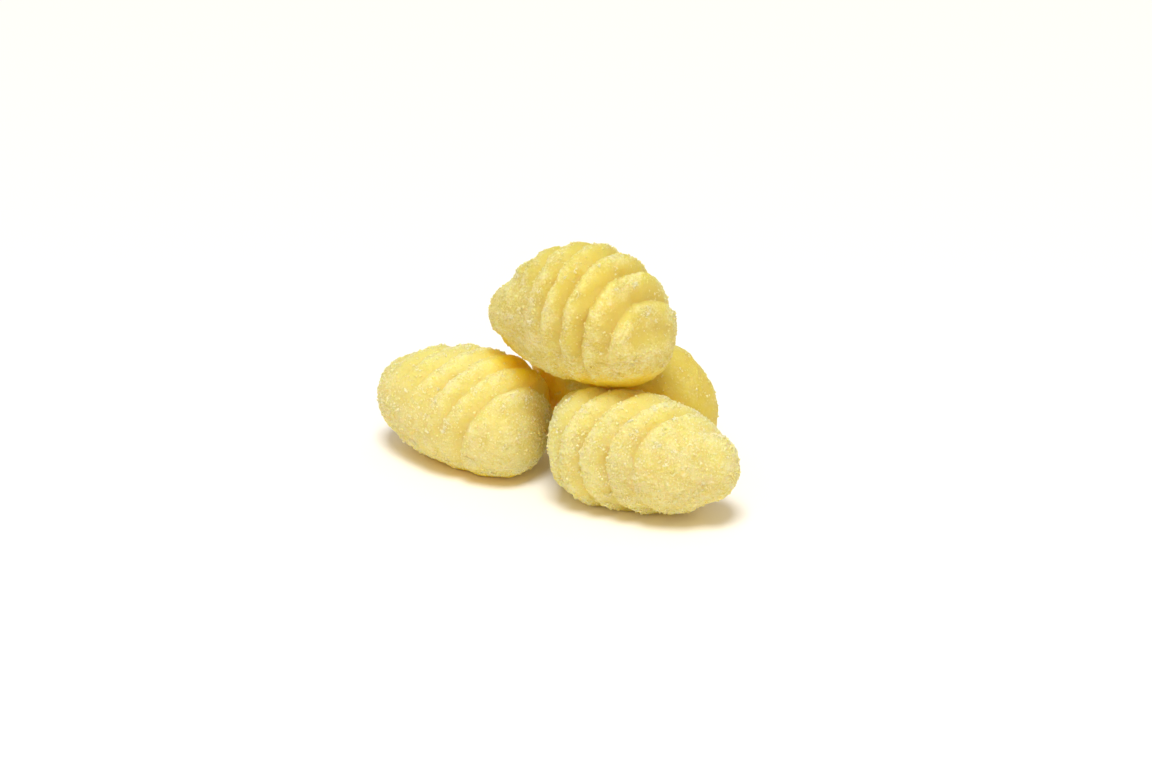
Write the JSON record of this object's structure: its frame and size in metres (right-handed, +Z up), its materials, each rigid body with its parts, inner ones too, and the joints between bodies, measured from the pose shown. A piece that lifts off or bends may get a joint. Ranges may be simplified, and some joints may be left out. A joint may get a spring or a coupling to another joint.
{
  "type": "potato gnocchi",
  "caption": "Small heap of raw, ridged potato gnocchi dusted with flour, lying side by side with another resting across the top.",
  "frame": {"origin": "centre of the heap's bounding box, on the surface that the lower gnocchi stand on", "axes": "+Z up; +X to the right and +Y away from the viewer, with the long side of the heap along X"},
  "size_m": [0.0614, 0.0442, 0.0473],
  "materials": {
    "dough": "matt pale yellow raw dough with a dusting of flour"
  },
  "bodies": {
    "root": {"gnocco_left": "dough", "gnocco_right": "dough", "gnocco_back": "dough", "gnocco_top": "dough"}
  },
  "joints": []
}
